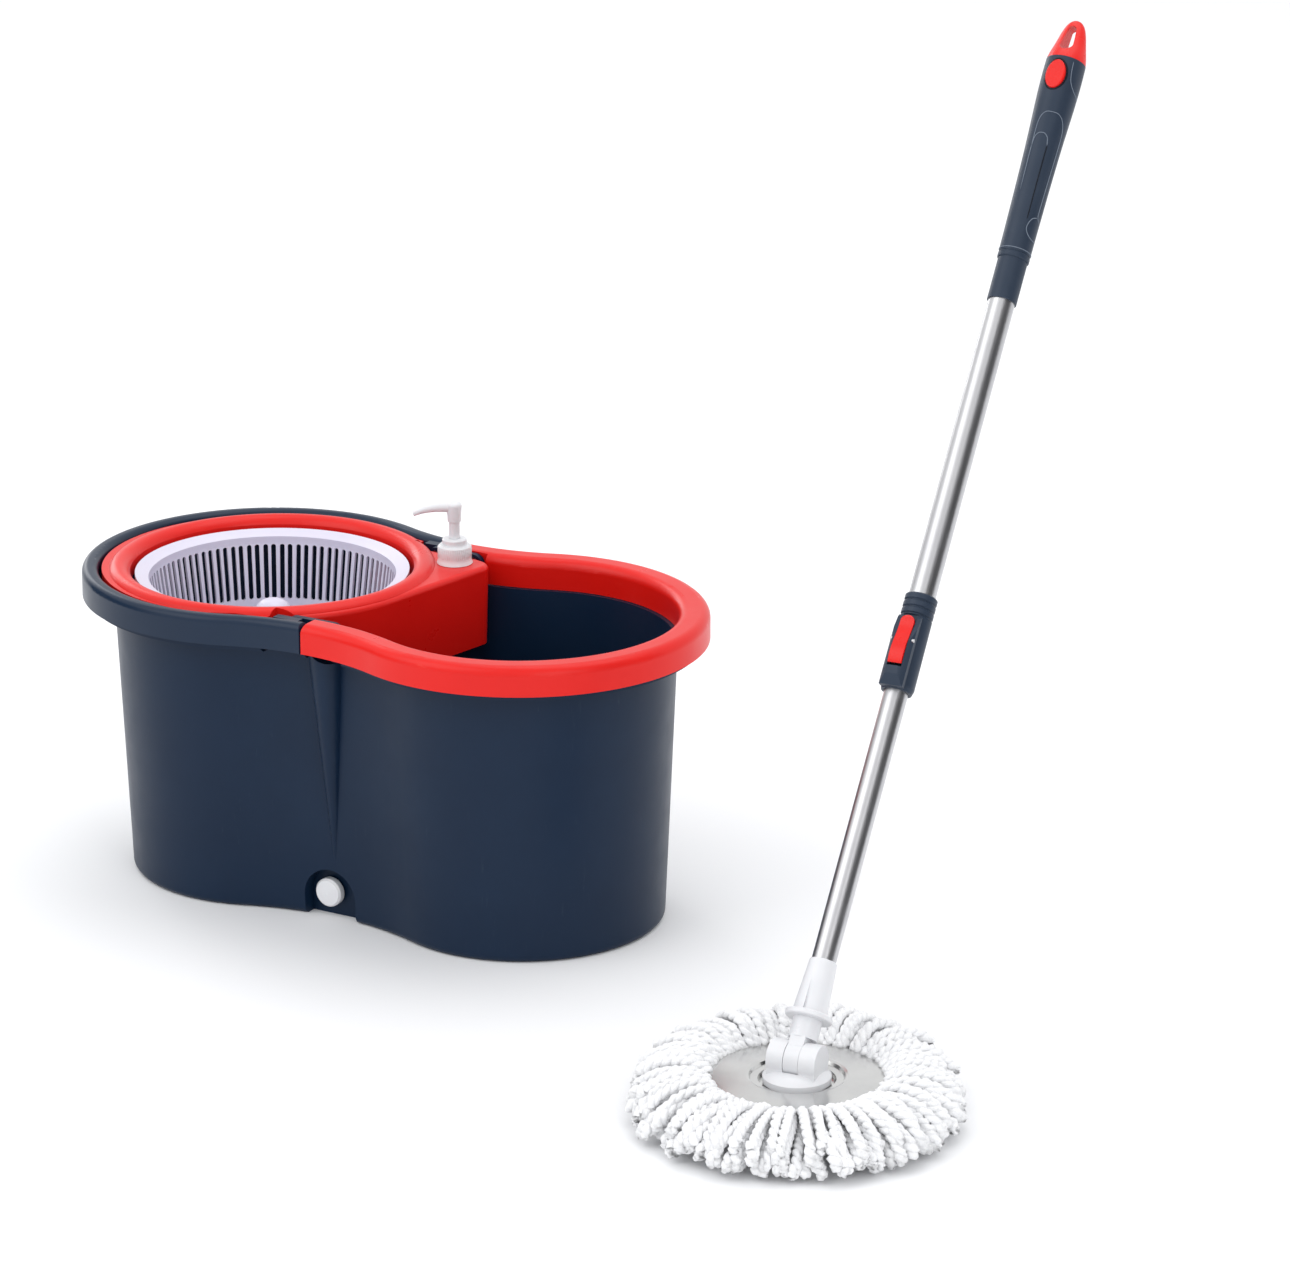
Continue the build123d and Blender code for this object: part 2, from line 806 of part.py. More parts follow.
with BuildPart() as swivel_base:
    with BuildSketch(head_side):
        with BuildLine():
            Polyline((0, 17.2), (6.95, 17.2), (6.95, 27.6), (dome_r - 2, 27.6), (dome_r, 29.6), (dome_r, 34.4))
            ThreePointArc((dome_r, 34.4), (dome_r - 6, 38.6), (6, 40.4))
            Polyline((6, 40.4), (0, 40.4), (0, 17.2))
        make_face()
    revolve(axis=head_axis)
    for side in (-1, 1):
        with BuildSketch(hinge_cross.offset(side * ear_inner)):
            Circle(ear_r)
            with Locations((0, -9)):
                Rectangle(2 * ear_r - 2, 14)
        extrude(amount=side * (ear_outer - ear_inner))
    with BuildSketch(hinge_cross.offset(-ear_inner)):
        Circle(ear_r + 0.8)
    extrude(amount=2 * ear_inner, mode=Mode.SUBTRACT)
    with BuildSketch(hinge_cross):
        Circle(pin_r)
    extrude(amount=ear_outer - 1, both=True, mode=Mode.SUBTRACT)
save(swivel_base, "swivel_base")

swivel_washer = head_turned([(0, 15.6), (11, 15.6), (11, 17.2), (0, 17.2)])
save(swivel_washer, "swivel_washer")

swivel_screw = head_turned([(0, 12.8), (4.5, 12.8), (4.5, 15.6), (0, 15.6)])
save(swivel_screw, "swivel_screw")

with BuildPart() as tilt_pin:
    with BuildSketch(hinge_cross):
        Circle(pin_r)
    extrude(amount=ear_outer - 1, both=True)
save(tilt_pin, "tilt_pin")

# ---- Mop pole: lower half --------------------------------------------------------------------


def pole_turned(points):
    """A solid turned about the pole, from (radius, distance along the pole) points."""
    with BuildPart() as turned:
        with BuildSketch(pole_side):
            add(outline(points))
        revolve(axis=pole_axis)
    return turned


def pole_tube(outer_r, inner_r, start, end):
    """A plain tube or ring on the pole."""
    return pole_turned([(inner_r, start), (outer_r, start), (outer_r, end), (inner_r, end)])


with BuildPart() as tilt_knuckle:
    with BuildSketch(pole_cross.offset(-ear_inner + 0.4)):
        Circle(ear_r - 0.4)
        with Locations((0, shank_start / 2)):
            Rectangle(22, shank_start + 2)
    extrude(amount=2 * ear_inner - 0.8)
    with BuildSketch(pole.offset(shank_start)):
        Circle(11.7)
    extrude(amount=collar_start - shank_start)
    with BuildSketch(pole_cross):
        Circle(pin_r + run_clearance)
    extrude(amount=30, both=True, mode=Mode.SUBTRACT)
save(tilt_knuckle, "tilt_knuckle")

with BuildPart() as pole_socket:
    with BuildSketch(pole_side):
        add(
            outline(
                [
                    (0, collar_start),
                    (18.2, collar_start),
                    (19, collar_start + 0.8),
                    (19, collar_end - 0.8),
                    (18.2, collar_end),
                    (14, collar_end),
                    (11.1, socket_end - 0.6),
                    (10.6, socket_end),
                    (lower_tube_r, socket_end),
                    (lower_tube_r, tube_foot),
                    (0, tube_foot),
                ]
            )
        )
    revolve(axis=pole_axis)
    with BuildSketch(pole_side.offset(12.1)):
        with Locations((0, (collar_end + socket_end) / 2)):
            Rectangle(2.2, socket_end - collar_end - 1)
    extrude(amount=5, mode=Mode.SUBTRACT)
save(pole_socket, "pole_socket")

lower_tube = pole_tube(lower_tube_r, lower_tube_r - tube_t, tube_foot, lower_tube_top)
save(lower_tube, "lower_tube")

guide_bush = pole_turned(
    [
        (lower_tube_r, lower_tube_top - 16),
        (upper_tube_r - tube_t - slide_clearance, lower_tube_top - 16),
        (upper_tube_r - tube_t - slide_clearance, lower_tube_top + 2),
        (7, lower_tube_top + 2),
        (7, lower_tube_top),
        (lower_tube_r, lower_tube_top),
    ]
)
save(guide_bush, "guide_bush")

nut_start = lower_tube_top - 14
clutch_housing = pole_turned(
    [
        (5.6, nut_start - 4.5),
        (lower_tube_r - tube_t, nut_start - 4.5),
        (lower_tube_r - tube_t, lower_tube_top - 0.2),
        (7.2, lower_tube_top - 0.2),
        (7.2, nut_start - 0.3),
        (5.6, nut_start - 0.3),
    ]
)
save(clutch_housing, "clutch_housing")

# The drive nut's slot and the rod share one twist, so that the nut turns as the rod slides through


def twisted_bar(width, thickness, start, end):
    """A strip twisted at the rod's pitch, in step with the rod at every height."""
    turn = 360 * start / twist_pitch
    with BuildSketch() as section:
        Rectangle(width, thickness, rotation=turn)
    face = pole.offset(start).from_local_coords(section.sketch.face())
    bar = Solid.extrude_linear_with_rotation(
        face,
        center=pole.offset(start).origin,
        normal=pole.z_dir * (end - start),
        angle=360 * (end - start) / twist_pitch,
    )
    with BuildPart() as twisted:
        add(bar)
    return twisted


twist_rod = twisted_bar(rod_width, rod_t, rod_start, rod_end)
save(twist_rod, "twist_rod")

nut_slot = twisted_bar(rod_width + 0.6, rod_t + 0.6, nut_start - 1, nut_start + 13)
with BuildPart() as drive_nut:
    with BuildSketch(pole.offset(nut_start)):
        Circle(6.9)
    extrude(amount=12)
    add(nut_slot.part, mode=Mode.SUBTRACT)
save(drive_nut, "drive_nut")

# ---- Mop pole: upper half --------------------------------------------------------------------

with BuildPart() as lock_window:
    with BuildSketch(pole_cross.offset(-4.5)):
        with Locations((-14, lever_mid - 11)):
            Rectangle(12, 13)
    extrude(amount=9)

with BuildPart() as upper_tube:
    with BuildSketch(pole.offset(lock_start + 12)):
        Circle(upper_tube_r)
        Circle(upper_tube_r - tube_t, mode=Mode.SUBTRACT)
    extrude(amount=rod_end - lock_start - 12)
    add(lock_window.part, mode=Mode.SUBTRACT)
save(upper_tube, "upper_tube")

with BuildPart() as rod_anchor:
    with BuildSketch(pole.offset(rod_end - 18)):
        Circle(upper_tube_r - tube_t)
    extrude(amount=16)
    add(twist_rod.part, mode=Mode.SUBTRACT)
save(rod_anchor, "rod_anchor")

lock_r = 13.2
ring_groove = 1.0
groove_points = []
for ring in range(3):
    low = lock_end - 19 + 6 * ring
    groove_points += [(lock_r, low), (lock_r - ring_groove, low + 0.8), (lock_r - ring_groove, low + 1.6)]
    groove_points += [(lock_r, low + 2.4)]
with BuildPart() as lock_housing:
    with BuildSketch(pole_side):
        add(
            outline(
                [
                    (lower_tube_r + 0.4, lock_start),
                    (lock_r - 0.8, lock_start),
                    (lock_r + 0.4, lock_start + 4),
                    *groove_points,
                    (lock_r, lock_end - 1),
                    (lock_r - 1, lock_end),
                    (upper_tube_r, lock_end),
                    (upper_tube_r, lock_start + 10),
                    (upper_tube_r + 0.4, lock_start + 10),
                    (upper_tube_r + 0.4, lock_start + 2),
                    (lower_tube_r + 0.4, lock_start + 2),
                ]
            )
        )
    revolve(axis=pole_axis)
    with BuildSketch(pole_cross.offset(-10)):
        add(
            outline(
                [
                    (-11.6, lever_mid - 38.5),
                    (-17.0, lever_mid - 38.5),
                    (-20.6, lever_mid - 30),
                    (-21.6, lever_mid - 17),
                    (-20.0, lever_mid - 4),
                    (-16.8, lever_mid + 8),
                    (-13.4, lever_mid + 20),
                    (-11.6, lever_mid + 22),
                ]
            )
        )
    extrude(amount=20)
    with BuildSketch(pole.offset(lock_start - 1)):
        Rectangle(60, 60)
        Ellipse(15, 21.8, mode=Mode.SUBTRACT)
    extrude(amount=lock_end - lock_start + 2, mode=Mode.SUBTRACT)
    with BuildSketch(pole_cross.offset(-6.2)):
        with Locations((-21.2, lever_mid)):
            Rectangle(20, 47)
    extrude(amount=12.4, mode=Mode.SUBTRACT)
    add(lock_window.part, mode=Mode.SUBTRACT)
    with BuildSketch(pole_cross):
        with Locations((lever_pin_y, lever_mid)):
            Circle(1.5)
    extrude(amount=30, both=True, mode=Mode.SUBTRACT)
save(lock_housing, "lock_housing")

lock_bush = pole_tube(upper_tube_r + 0.4, lower_tube_r + slide_clearance, lock_start + 2, lock_start + 10)
save(lock_bush, "lock_bush")

with BuildPart() as lever_pin:
    with BuildSketch(pole_cross.offset(-10)):
        with Locations((lever_pin_y, lever_mid)):
            Circle(1.5)
    extrude(amount=20)
save(lever_pin, "lever_pin")

with BuildPart() as lock_lever:
    with BuildSketch(pole_cross.offset(-5.8)):
        with BuildLine():
            Spline(
                (-20.6, lever_mid - 21),
                (-22.0, lever_mid - 14),
                (-20.8, lever_mid - 4),
                (-18.0, lever_mid + 6),
                (-16.8, lever_mid + 13),
                (-17.2, lever_mid + 19),
            )
            Polyline(
                (-17.2, lever_mid + 19),
                (-16.2, lever_mid + 21),
                (-14.6, lever_mid + 20),
                (-13.6, lever_mid + 8),
                (-12.6, lever_mid - 3),
                (-12.6, lever_mid - 16),
                (-15.0, lever_mid - 20),
                (-20.6, lever_mid - 21),
            )
        make_face()
    extrude(amount=11.6)
    with BuildSketch(pole_side):
        with Locations((0, lever_mid - 2)):
            Rectangle(11.6, 40)
        with Locations((0, lever_mid + 15.2)):
            Circle(5.8)
        with Locations((0, lever_mid + 18)):
            Rectangle(20, 6, mode=Mode.SUBTRACT)
        with Locations((0, lever_mid + 15.2)):
            Circle(5.8)
    extrude(amount=40, both=True, mode=Mode.INTERSECT)
    with BuildSketch(pole_cross):
        with Locations((lever_pin_y, lever_mid)):
            Circle(1.5 + run_clearance)
    extrude(amount=30, both=True, mode=Mode.SUBTRACT)
save(lock_lever, "lock_lever")

with BuildPart() as lock_pad:
    with BuildSketch(pole_cross.offset(-3.4)):
        with Locations((-11.35, lever_mid - 11)):
            Rectangle(2.5, 8)
    extrude(amount=6.8)
save(lock_pad, "lock_pad")

# ---- Grip ------------------------------------------------------------------------------------

grip_sleeve = pole_tube(12.2, upper_tube_r, sleeve_start, sleeve_end)
save(grip_sleeve, "grip_sleeve")

grip_collar = pole_turned(
    [
        (upper_tube_r, sleeve_end),
        (12.6, sleeve_end),
        (13.2, sleeve_end + 0.8),
        (13.2, grip_start - 1.2),
        (12.6, grip_start - 0.4),
        (12.6, grip_start),
        (upper_tube_r, grip_start),
    ]
)
save(grip_collar, "grip_collar")

with BuildPart() as button_pocket:
    with BuildSketch(pole_side.offset(11.6)):
        with Locations((0, button_mid)):
            Ellipse(8.3, 13.0)
    extrude(amount=10)

with BuildPart() as grip:
    with BuildSketch(pole_side):
        with BuildLine():
            Polyline((upper_tube_r, grip_start), (12.8, grip_start), (13.2, grip_start + 2))
            Spline(
                (13.2, grip_start + 2),
                (13.6, grip_start + 40),
                (15.0, grip_start + 105),
                (16.6, grip_end - 18),
                (16.4, grip_end),
            )
            Polyline(
                (16.4, grip_end), (0, grip_end), (0, rod_end), (upper_tube_r, rod_end), (upper_tube_r, grip_start)
            )
        make_face()
    revolve(axis=pole_axis)
    add(button_pocket.part, mode=Mode.SUBTRACT)
save(grip, "grip")

with BuildPart() as grip_button:
    with BuildSketch(pole_side.offset(13.6)):
        with Locations((0, button_mid)):
            Ellipse(8.0, 12.7)
    extrude(amount=4.2)
    fillet(grip_button.faces().sort_by(Axis(pole.origin, pole.y_dir * -1))[-1].edges(), 1.0)
save(grip_button, "grip_button")

with BuildPart() as hang_loop:
    with BuildSketch(pole.offset(grip_end)):
        Circle(16.4)
    with BuildSketch(pole.offset(grip_end + 14)):
        Ellipse(13.6, 10.5)
    with BuildSketch(pole.offset(grip_end + 29)):
        Ellipse(9.6, 6.4)
    with BuildSketch(pole.offset(loop_end - 2)):
        Ellipse(5.6, 4.0)
    with BuildSketch(pole.offset(loop_end)):
        Ellipse(2.6, 2.0)
    loft()
    with BuildSketch(pole_side.offset(-20)):
        with Locations((0, grip_end + 13)):
            Circle(5.6)
        with Locations((0, grip_end + 28)):
            Circle(3.6)
        make_hull()
    extrude(amount=40, mode=Mode.SUBTRACT)
save(hang_loop, "hang_loop")
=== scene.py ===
import math

import bpy
import numpy as np
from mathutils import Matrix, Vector


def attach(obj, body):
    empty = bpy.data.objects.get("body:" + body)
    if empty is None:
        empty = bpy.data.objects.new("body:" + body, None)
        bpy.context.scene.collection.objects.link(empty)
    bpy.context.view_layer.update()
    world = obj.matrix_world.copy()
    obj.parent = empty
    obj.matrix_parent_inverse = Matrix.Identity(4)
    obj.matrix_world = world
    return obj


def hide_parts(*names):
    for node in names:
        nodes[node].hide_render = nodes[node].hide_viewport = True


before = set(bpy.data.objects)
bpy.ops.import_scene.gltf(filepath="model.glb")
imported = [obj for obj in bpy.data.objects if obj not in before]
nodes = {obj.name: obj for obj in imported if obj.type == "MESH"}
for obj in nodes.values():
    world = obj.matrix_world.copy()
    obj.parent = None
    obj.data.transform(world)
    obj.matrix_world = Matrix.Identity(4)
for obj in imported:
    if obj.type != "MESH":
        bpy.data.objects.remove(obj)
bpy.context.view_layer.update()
scene = bpy.context.scene
print("frame loaded:", len(nodes), "cad pieces")

# where the mop stands, the same numbers as in the design (metres and degrees)
mopPlace = {
    "foot": (0.5405, -0.2676),
    "hingeHeight": 0.047,
    "headTurn": 5.25,
    "lean": 38.0,
}

turn = math.radians(mopPlace["headTurn"])
lean = math.radians(mopPlace["lean"])
poleFoot = Vector((*mopPlace["foot"], mopPlace["hingeHeight"]))
poleSide = Vector((math.cos(turn), math.sin(turn), 0))
backward = Vector((-math.sin(turn), math.cos(turn), 0))
poleUp = backward * math.sin(lean) + Vector((0, 0, math.cos(lean)))
poleFront = poleSide.cross(poleUp)  # the pole's lever and button side


# a point on the pole in metres, from millimetres across it, out of its front and up it
def onPole(side, front, along):
    return poleFoot + (poleSide * side + poleFront * front + poleUp * along) / 1000


def newMaterial(name):
    material = bpy.data.materials.new(name)
    material.use_nodes = True
    tree = material.node_tree
    shader = tree.nodes["Principled BSDF"]
    return material, tree, shader


def addNode(tree, kind, **values):
    node = tree.nodes.new(kind)
    for key, value in values.items():
        setattr(node, key, value)
    return node


def placeCoords(tree, scale=(1, 1, 1)):
    coords = addNode(tree, "ShaderNodeTexCoord")
    mapping = addNode(tree, "ShaderNodeMapping")
    mapping.inputs["Scale"].default_value = scale
    tree.links.new(coords.outputs["Object"], mapping.inputs["Vector"])
    return mapping.outputs["Vector"]


# noise whose blotches are about size metres across
def noiseAt(tree, vector, size, detail=4.0, roughness=0.55):
    node = addNode(tree, "ShaderNodeTexNoise")
    node.inputs["Scale"].default_value = 1 / size
    node.inputs["Detail"].default_value = detail
    node.inputs["Roughness"].default_value = roughness
    tree.links.new(vector, node.inputs["Vector"])
    return node.outputs["Fac"]


def spread(tree, value, low, high, fromLow=0.3, fromHigh=0.7):
    node = addNode(tree, "ShaderNodeMapRange")
    node.inputs["From Min"].default_value = fromLow
    node.inputs["From Max"].default_value = fromHigh
    node.inputs["To Min"].default_value = low
    node.inputs["To Max"].default_value = high
    tree.links.new(value, node.inputs["Value"])
    return node.outputs["Result"]


def mixColours(tree, factor, first, second):
    node = addNode(tree, "ShaderNodeMix", data_type="RGBA")
    tree.links.new(factor, node.inputs["Factor"])
    for socket, colour in ((node.inputs[6], first), (node.inputs[7], second)):
        if isinstance(colour, (tuple, list)):
            socket.default_value = (*colour, 1)
        else:
            tree.links.new(colour, socket)
    return node.outputs[2]


def combine(tree, kind, first, second):
    node = addNode(tree, "ShaderNodeMath", operation=kind)
    for socket, value in ((node.inputs[0], first), (node.inputs[1], second)):
        if isinstance(value, (int, float)):
            socket.default_value = value
        else:
            tree.links.new(value, socket)
    return node.outputs[0]


def bumpFrom(tree, height, distance, strength, before=None):
    node = addNode(tree, "ShaderNodeBump")
    node.inputs["Distance"].default_value = distance
    node.inputs["Strength"].default_value = strength
    tree.links.new(height, node.inputs["Height"])
    if before is not None:
        tree.links.new(before, node.inputs["Normal"])
    return node.outputs["Normal"]


# satin moulded plastic: faint mottling, spark-eroded grain, hairline scuffs and rubbed patches
def mouldedPlastic(name, look):
    material, tree, shader = newMaterial(name)
    vector = placeCoords(tree)
    mottle = noiseAt(tree, vector, look["mottleSize"], 5)
    colour = mixColours(tree, spread(tree, mottle, 0, 1), look["colour"], look["colourShift"])
    scuffVector = placeCoords(tree, look["scuffStretch"])
    scuffs = noiseAt(tree, scuffVector, look["scuffSize"], 6, 0.7)
    scuffMask = spread(tree, scuffs, 0, 1, 0.62, 0.72)
    wornMask = spread(tree, noiseAt(tree, vector, 0.06, 3), 0, 1, 0.45, 0.7)
    wear = combine(tree, "MULTIPLY", combine(tree, "MULTIPLY", scuffMask, wornMask), look["wear"])
    colour = mixColours(tree, wear, colour, look["scuffColour"])
    tree.links.new(colour, shader.inputs["Base Color"])
    low, high = look["roughness"]
    rough = spread(tree, noiseAt(tree, vector, 0.035, 4), low, high)
    rough = combine(tree, "ADD", rough, combine(tree, "MULTIPLY", wear, 0.3))
    tree.links.new(rough, shader.inputs["Roughness"])
    grain = noiseAt(tree, vector, look["grainSize"], 2)
    normal = bumpFrom(tree, grain, look["grainDepth"], look["grainStrength"])
    normal = bumpFrom(tree, scuffMask, 0.00003, 0.25, normal)
    waves = noiseAt(tree, vector, 0.05, 1)
    normal = bumpFrom(tree, waves, 0.0006, look["sinkStrength"], normal)
    tree.links.new(normal, shader.inputs["Normal"])
    shader.inputs["Specular IOR Level"].default_value = look["specular"]
    shader.inputs["Subsurface Weight"].default_value = look.get("glow", 0)
    shader.inputs["Subsurface Radius"].default_value = (0.004, 0.003, 0.003)
    shader.inputs["Subsurface Scale"].default_value = 0.6
    return material


def plasticLook(**changes):
    look = {
        "colour": (0.5, 0.5, 0.5),
        "colourShift": (0.48, 0.48, 0.48),
        "mottleSize": 0.08,
        "scuffStretch": (1, 1, 0.12),
        "scuffSize": 0.004,
        "scuffColour": (0.6, 0.6, 0.6),
        "wear": 0.25,
        "roughness": (0.3, 0.4),
        "grainSize": 0.0006,
        "grainDepth": 0.00005,
        "grainStrength": 0.2,
        "sinkStrength": 0.08,
        "specular": 0.5,
    }
    look.update(changes)
    return look


bucketNavy = plasticLook(
    colour=(0.0055, 0.0185, 0.046),
    colourShift=(0.0045, 0.0155, 0.040),
    scuffColour=(0.045, 0.065, 0.095),
    roughness=(0.33, 0.41),
    specular=0.2,
    grainStrength=0.28,
    wear=0.35,
)
handleNavy = plasticLook(
    colour=(0.006, 0.0195, 0.047),
    colourShift=(0.005, 0.0165, 0.041),
    scuffStretch=(0.15, 1, 1),
    scuffColour=(0.055, 0.07, 0.095),
    roughness=(0.29, 0.37),
    specular=0.3,
)
gripNavy = plasticLook(
    colour=(0.026, 0.040, 0.066),
    colourShift=(0.021, 0.034, 0.058),
    mottleSize=0.03,
    specular=0.28,
    scuffColour=(0.06, 0.075, 0.10),
    roughness=(0.36, 0.46),
    grainSize=0.0004,
    grainStrength=0.35,
)
guardRed = plasticLook(
    colour=(0.74, 0.010, 0.006),
    colourShift=(0.69, 0.008, 0.005),
    scuffStretch=(0.2, 0.2, 1),
    scuffColour=(0.82, 0.11, 0.08),
    roughness=(0.27, 0.36),
    grainStrength=0.14,
    specular=0.3,
    glow=0.03,
)
trimRed = plasticLook(
    colour=(0.75, 0.010, 0.006),
    colourShift=(0.70, 0.008, 0.005),
    mottleSize=0.02,
    scuffColour=(0.83, 0.12, 0.09),
    roughness=(0.24, 0.32),
    grainStrength=0.12,
    specular=0.35,
)
lineGrey = plasticLook(
    colour=(0.16, 0.19, 0.24),
    colourShift=(0.13, 0.16, 0.21),
    mottleSize=0.01,
    scuffColour=(0.22, 0.25, 0.3),
    roughness=(0.4, 0.5),
    specular=0.3,
)
# near-black for painted shade: the gap round the button and the groove on the grip
paintedGapShade = plasticLook(
    colour=(0.004, 0.007, 0.014),
    colourShift=(0.003, 0.005, 0.011),
    mottleSize=0.01,
    scuffColour=(0.03, 0.04, 0.05),
    roughness=(0.35, 0.45),
    specular=0.25,
)
basketLilac = plasticLook(
    colour=(0.70, 0.68, 0.80),
    colourShift=(0.65, 0.63, 0.76),
    scuffColour=(0.85, 0.84, 0.9),
    roughness=(0.28, 0.38),
    grainStrength=0.12,
    wear=0.15,
    glow=0.12,
)
jointWhite = plasticLook(
    colour=(0.76, 0.765, 0.785),
    colourShift=(0.72, 0.725, 0.75),
    mottleSize=0.03,
    scuffColour=(0.7, 0.7, 0.71),
    roughness=(0.26, 0.36),
    grainStrength=0.12,
    wear=0.12,
    glow=0.1,
)
milkyTank = plasticLook(
    colour=(0.74, 0.77, 0.8),
    colourShift=(0.7, 0.74, 0.78),
    scuffColour=(0.82, 0.84, 0.86),
    roughness=(0.3, 0.42),
    glow=0.3,
)


# metal with fine brushing, faint smears and a slight unevenness
def steelFinish(name, look):
    material, tree, shader = newMaterial(name)
    vector = placeCoords(tree)
    if look["brush"] == "round":  # turned on its own axis: fine rings
        shift = addNode(tree, "ShaderNodeVectorMath", operation="SUBTRACT")
        tree.links.new(vector, shift.inputs[0])
        shift.inputs[1].default_value = (*mopPlace["foot"], 0)
        flat = addNode(tree, "ShaderNodeVectorMath", operation="MULTIPLY")
        tree.links.new(shift.outputs[0], flat.inputs[0])
        flat.inputs[1].default_value = (1, 1, 0)
        length = addNode(tree, "ShaderNodeVectorMath", operation="LENGTH")
        tree.links.new(flat.outputs[0], length.inputs[0])
        lines = addNode(tree, "ShaderNodeTexNoise", noise_dimensions="1D")
        lines.inputs["Scale"].default_value = 1 / look["brushSize"]
        lines.inputs["Detail"].default_value = 3
        tree.links.new(length.outputs["Value"], lines.inputs["W"])
        brushed = lines.outputs["Fac"]
    else:  # drawn along the pole
        turned = addNode(tree, "ShaderNodeVectorRotate", rotation_type="AXIS_ANGLE")
        turned.inputs["Axis"].default_value = poleSide
        turned.inputs["Angle"].default_value = lean
        tree.links.new(vector, turned.inputs["Vector"])
        stretch = addNode(tree, "ShaderNodeMapping")
        stretch.inputs["Scale"].default_value = (1, 1, look["stretch"])
        tree.links.new(turned.outputs["Vector"], stretch.inputs["Vector"])
        brushed = noiseAt(tree, stretch.outputs["Vector"], look["brushSize"], 3)
    smear = noiseAt(tree, vector, 0.03, 5)
    colour = mixColours(tree, spread(tree, smear, 0, 1), look["colour"], look["colourShift"])
    tree.links.new(colour, shader.inputs["Base Color"])
    low, high = look["roughness"]
    rough = combine(
        tree,
        "ADD",
        spread(tree, brushed, low, high),
        spread(tree, smear, 0, look["smear"], 0.5, 0.7),
    )
    tree.links.new(rough, shader.inputs["Roughness"])
    normal = bumpFrom(tree, brushed, look["brushDepth"], look["brushStrength"])
    dents = noiseAt(tree, vector, 0.045, 1)
    normal = bumpFrom(tree, dents, 0.0006, look["unevenness"], normal)
    tree.links.new(normal, shader.inputs["Normal"])
    shader.inputs["Metallic"].default_value = 1
    return material


tubeSteel = {
    "brush": "along",
    "stretch": 0.01,
    "brushSize": 0.0011,
    "colour": (0.60, 0.60, 0.61),
    "colourShift": (0.55, 0.55, 0.565),
    "roughness": (0.29, 0.35),
    "smear": 0.05,
    "brushDepth": 0.00002,
    "brushStrength": 0.15,
    "unevenness": 0.02,
}
plateSteel = {
    "brush": "round",
    "brushSize": 0.0009,
    "colour": (0.68, 0.68, 0.67),
    "colourShift": (0.62, 0.62, 0.615),
    "roughness": (0.14, 0.22),
    "smear": 0.07,
    "brushDepth": 0.00002,
    "brushStrength": 0.2,
    "unevenness": 0.12,
}
pinSteel = {
    "brush": "along",
    "stretch": 0.2,
    "brushSize": 0.0012,
    "colour": (0.55, 0.55, 0.56),
    "colourShift": (0.5, 0.5, 0.51),
    "roughness": (0.2, 0.35),
    "smear": 0.1,
    "brushDepth": 0.00003,
    "brushStrength": 0.3,
    "unevenness": 0.1,
}


def sealRubber():
    look = plasticLook(
        colour=(0.025, 0.025, 0.028),
        colourShift=(0.02, 0.02, 0.022),
        scuffColour=(0.08, 0.08, 0.08),
        roughness=(0.6, 0.75),
        grainStrength=0.4,
        specular=0.3,
    )
    return mouldedPlastic("sealRubber", look)


yarnLook = {
    "colour": (0.95, 0.95, 0.955),
    # shade: the darker colour for the painted shade between tufts and for random blotches
    "shade": (0.87, 0.878, 0.90),
    "tuftSize": 0.0011,
    "fibreSize": 0.00035,
}


# soft microfibre: fluffy tufts with fine fibres over them, painted shade in the gaps between tufts and
# random darker blotches
def chenilleYarn():
    material, tree, shader = newMaterial("chenilleYarn")
    vector = placeCoords(tree)
    tufts = addNode(tree, "ShaderNodeTexVoronoi", feature="SMOOTH_F1")
    tufts.inputs["Scale"].default_value = 1 / yarnLook["tuftSize"]
    tufts.inputs["Smoothness"].default_value = 0.6
    tree.links.new(vector, tufts.inputs["Vector"])
    fibres = noiseAt(tree, vector, yarnLook["fibreSize"], 5, 0.7)
    blotches = noiseAt(tree, vector, 0.02, 3)
    # painted shade: the colour darkens away from each tuft's middle, into the lowered gaps between tufts
    paintedTuftGapShade = spread(tree, tufts.outputs["Distance"], 0, 0.7, 0.25, 0.75)
    shade = combine(tree, "ADD", paintedTuftGapShade, spread(tree, blotches, 0, 0.3))
    colour = mixColours(tree, shade, yarnLook["colour"], yarnLook["shade"])
    tree.links.new(colour, shader.inputs["Base Color"])
    tree.links.new(spread(tree, fibres, 0.82, 0.98), shader.inputs["Roughness"])
    lowered = combine(tree, "MULTIPLY", tufts.outputs["Distance"], -1)
    normal = bumpFrom(tree, lowered, 0.0007, 0.6)
    normal = bumpFrom(tree, fibres, 0.00025, 0.5, normal)
    tree.links.new(normal, shader.inputs["Normal"])
    shader.inputs["Specular IOR Level"].default_value = 0.12
    shader.inputs["Sheen Weight"].default_value = 0.35
    shader.inputs["Sheen Roughness"].default_value = 0.5
    shader.inputs["Subsurface Weight"].default_value = 0.18
    shader.inputs["Subsurface Radius"].default_value = (0.004, 0.004, 0.004)
    shader.inputs["Subsurface Scale"].default_value = 0.5
    return material


finishes = {
    "bucketNavy": mouldedPlastic("bucketNavy", bucketNavy),
    "handleNavy": mouldedPlastic("handleNavy", handleNavy),
    "gripNavy": mouldedPlastic("gripNavy", gripNavy),
    "guardRed": mouldedPlastic("guardRed", guardRed),
    "trimRed": mouldedPlastic("trimRed", trimRed),
    "lineGrey": mouldedPlastic("lineGrey", lineGrey),
    "paintedGapShade": mouldedPlastic("paintedGapShade", paintedGapShade),
    "basketLilac": mouldedPlastic("basketLilac", basketLilac),
    "jointWhite": mouldedPlastic("jointWhite", jointWhite),
    "milkyTank": mouldedPlastic("milkyTank", milkyTank),
    "tubeSteel": steelFinish("tubeSteel", tubeSteel),
    "plateSteel": steelFinish("plateSteel", plateSteel),
    "pinSteel": steelFinish("pinSteel", pinSteel),
    "sealRubber": sealRubber(),
    "chenilleYarn": chenilleYarn(),
}

